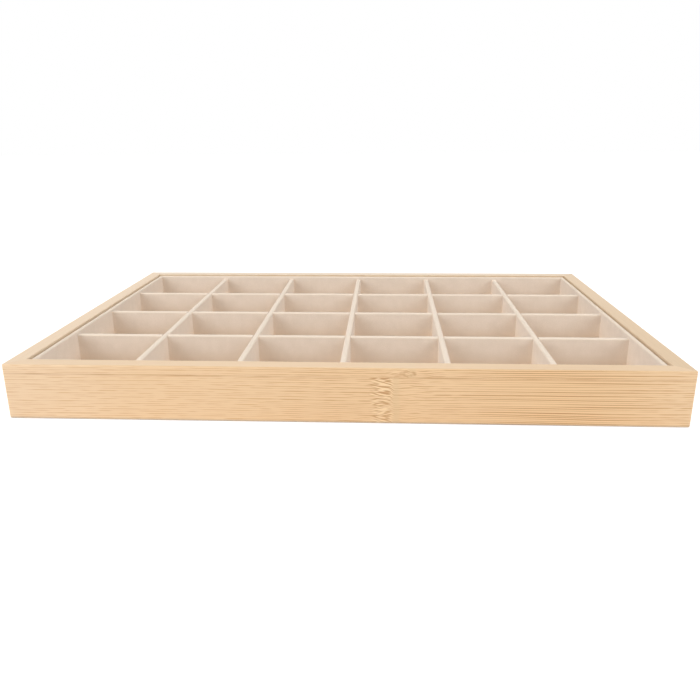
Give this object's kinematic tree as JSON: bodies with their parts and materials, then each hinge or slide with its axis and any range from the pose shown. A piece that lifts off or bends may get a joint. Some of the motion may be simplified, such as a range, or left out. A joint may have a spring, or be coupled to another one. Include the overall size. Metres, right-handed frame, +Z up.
{
  "type": "jewelry tray",
  "caption": "Low rectangular bamboo tray with a velvet-lined insert, split into small square compartments by half-lapped velvet dividers that lift out.",
  "frame": {"origin": "middle of the underside, on the plane the tray stands on", "axes": "+X to the right along the long side, +Y to the back, +Z up"},
  "size_m": [0.35, 0.24, 0.03],
  "materials": {
    "bamboo": "pale natural bamboo with fine fibres along each rail, satin lacquer",
    "velvet": "short-pile beige velvet, matt with a soft sheen at grazing angles",
    "greyboard": "plain grey cardboard, matt",
    "bottom_panel": "thin bamboo plywood, satin"
  },
  "bodies": {
    "frame": {"front_rail": "bamboo", "back_rail": "bamboo", "left_rail": "bamboo", "right_rail": "bamboo", "corner_splines": "bamboo", "bottom_panel": "bottom_panel"},
    "insert": {"insert_base_board": "greyboard", "floor_cloth": "velvet", "front_wall_board": "greyboard", "back_wall_board": "greyboard", "left_wall_board": "greyboard", "right_wall_board": "greyboard", "front_wall_cloth": "velvet", "back_wall_cloth": "velvet", "left_wall_cloth": "velvet", "right_wall_cloth": "velvet"},
    "long_dividers": {"long_divider_1_board": "greyboard", "long_divider_1_cloth": "velvet", "long_divider_2_board": "greyboard", "long_divider_2_cloth": "velvet", "long_divider_3_board": "greyboard", "long_divider_3_cloth": "velvet"},
    "cross_divider_1": {"cross_divider_1_board": "greyboard", "cross_divider_1_cloth": "velvet"},
    "cross_divider_2": {"cross_divider_2_board": "greyboard", "cross_divider_2_cloth": "velvet"},
    "cross_divider_3": {"cross_divider_3_board": "greyboard", "cross_divider_3_cloth": "velvet"},
    "cross_divider_4": {"cross_divider_4_board": "greyboard", "cross_divider_4_cloth": "velvet"},
    "cross_divider_5": {"cross_divider_5_board": "greyboard", "cross_divider_5_cloth": "velvet"}
  },
  "joints": [
    {"name": "insert_lift", "type": "slide", "parent": "frame", "child": "insert", "axis": [0, 0, 1], "range_m": [0, 0.04]},
    {"name": "long_dividers_lift", "type": "slide", "parent": "insert", "child": "long_dividers", "axis": [0, 0, 1], "range_m": [0, 0.03]},
    {"name": "cross_divider_1_lift", "type": "slide", "parent": "long_dividers", "child": "cross_divider_1", "axis": [0, 0, 1], "range_m": [0, 0.03]},
    {"name": "cross_divider_2_lift", "type": "slide", "parent": "long_dividers", "child": "cross_divider_2", "axis": [0, 0, 1], "range_m": [0, 0.03]},
    {"name": "cross_divider_3_lift", "type": "slide", "parent": "long_dividers", "child": "cross_divider_3", "axis": [0, 0, 1], "range_m": [0, 0.03]},
    {"name": "cross_divider_4_lift", "type": "slide", "parent": "long_dividers", "child": "cross_divider_4", "axis": [0, 0, 1], "range_m": [0, 0.03]},
    {"name": "cross_divider_5_lift", "type": "slide", "parent": "long_dividers", "child": "cross_divider_5", "axis": [0, 0, 1], "range_m": [0, 0.03]}
  ]
}
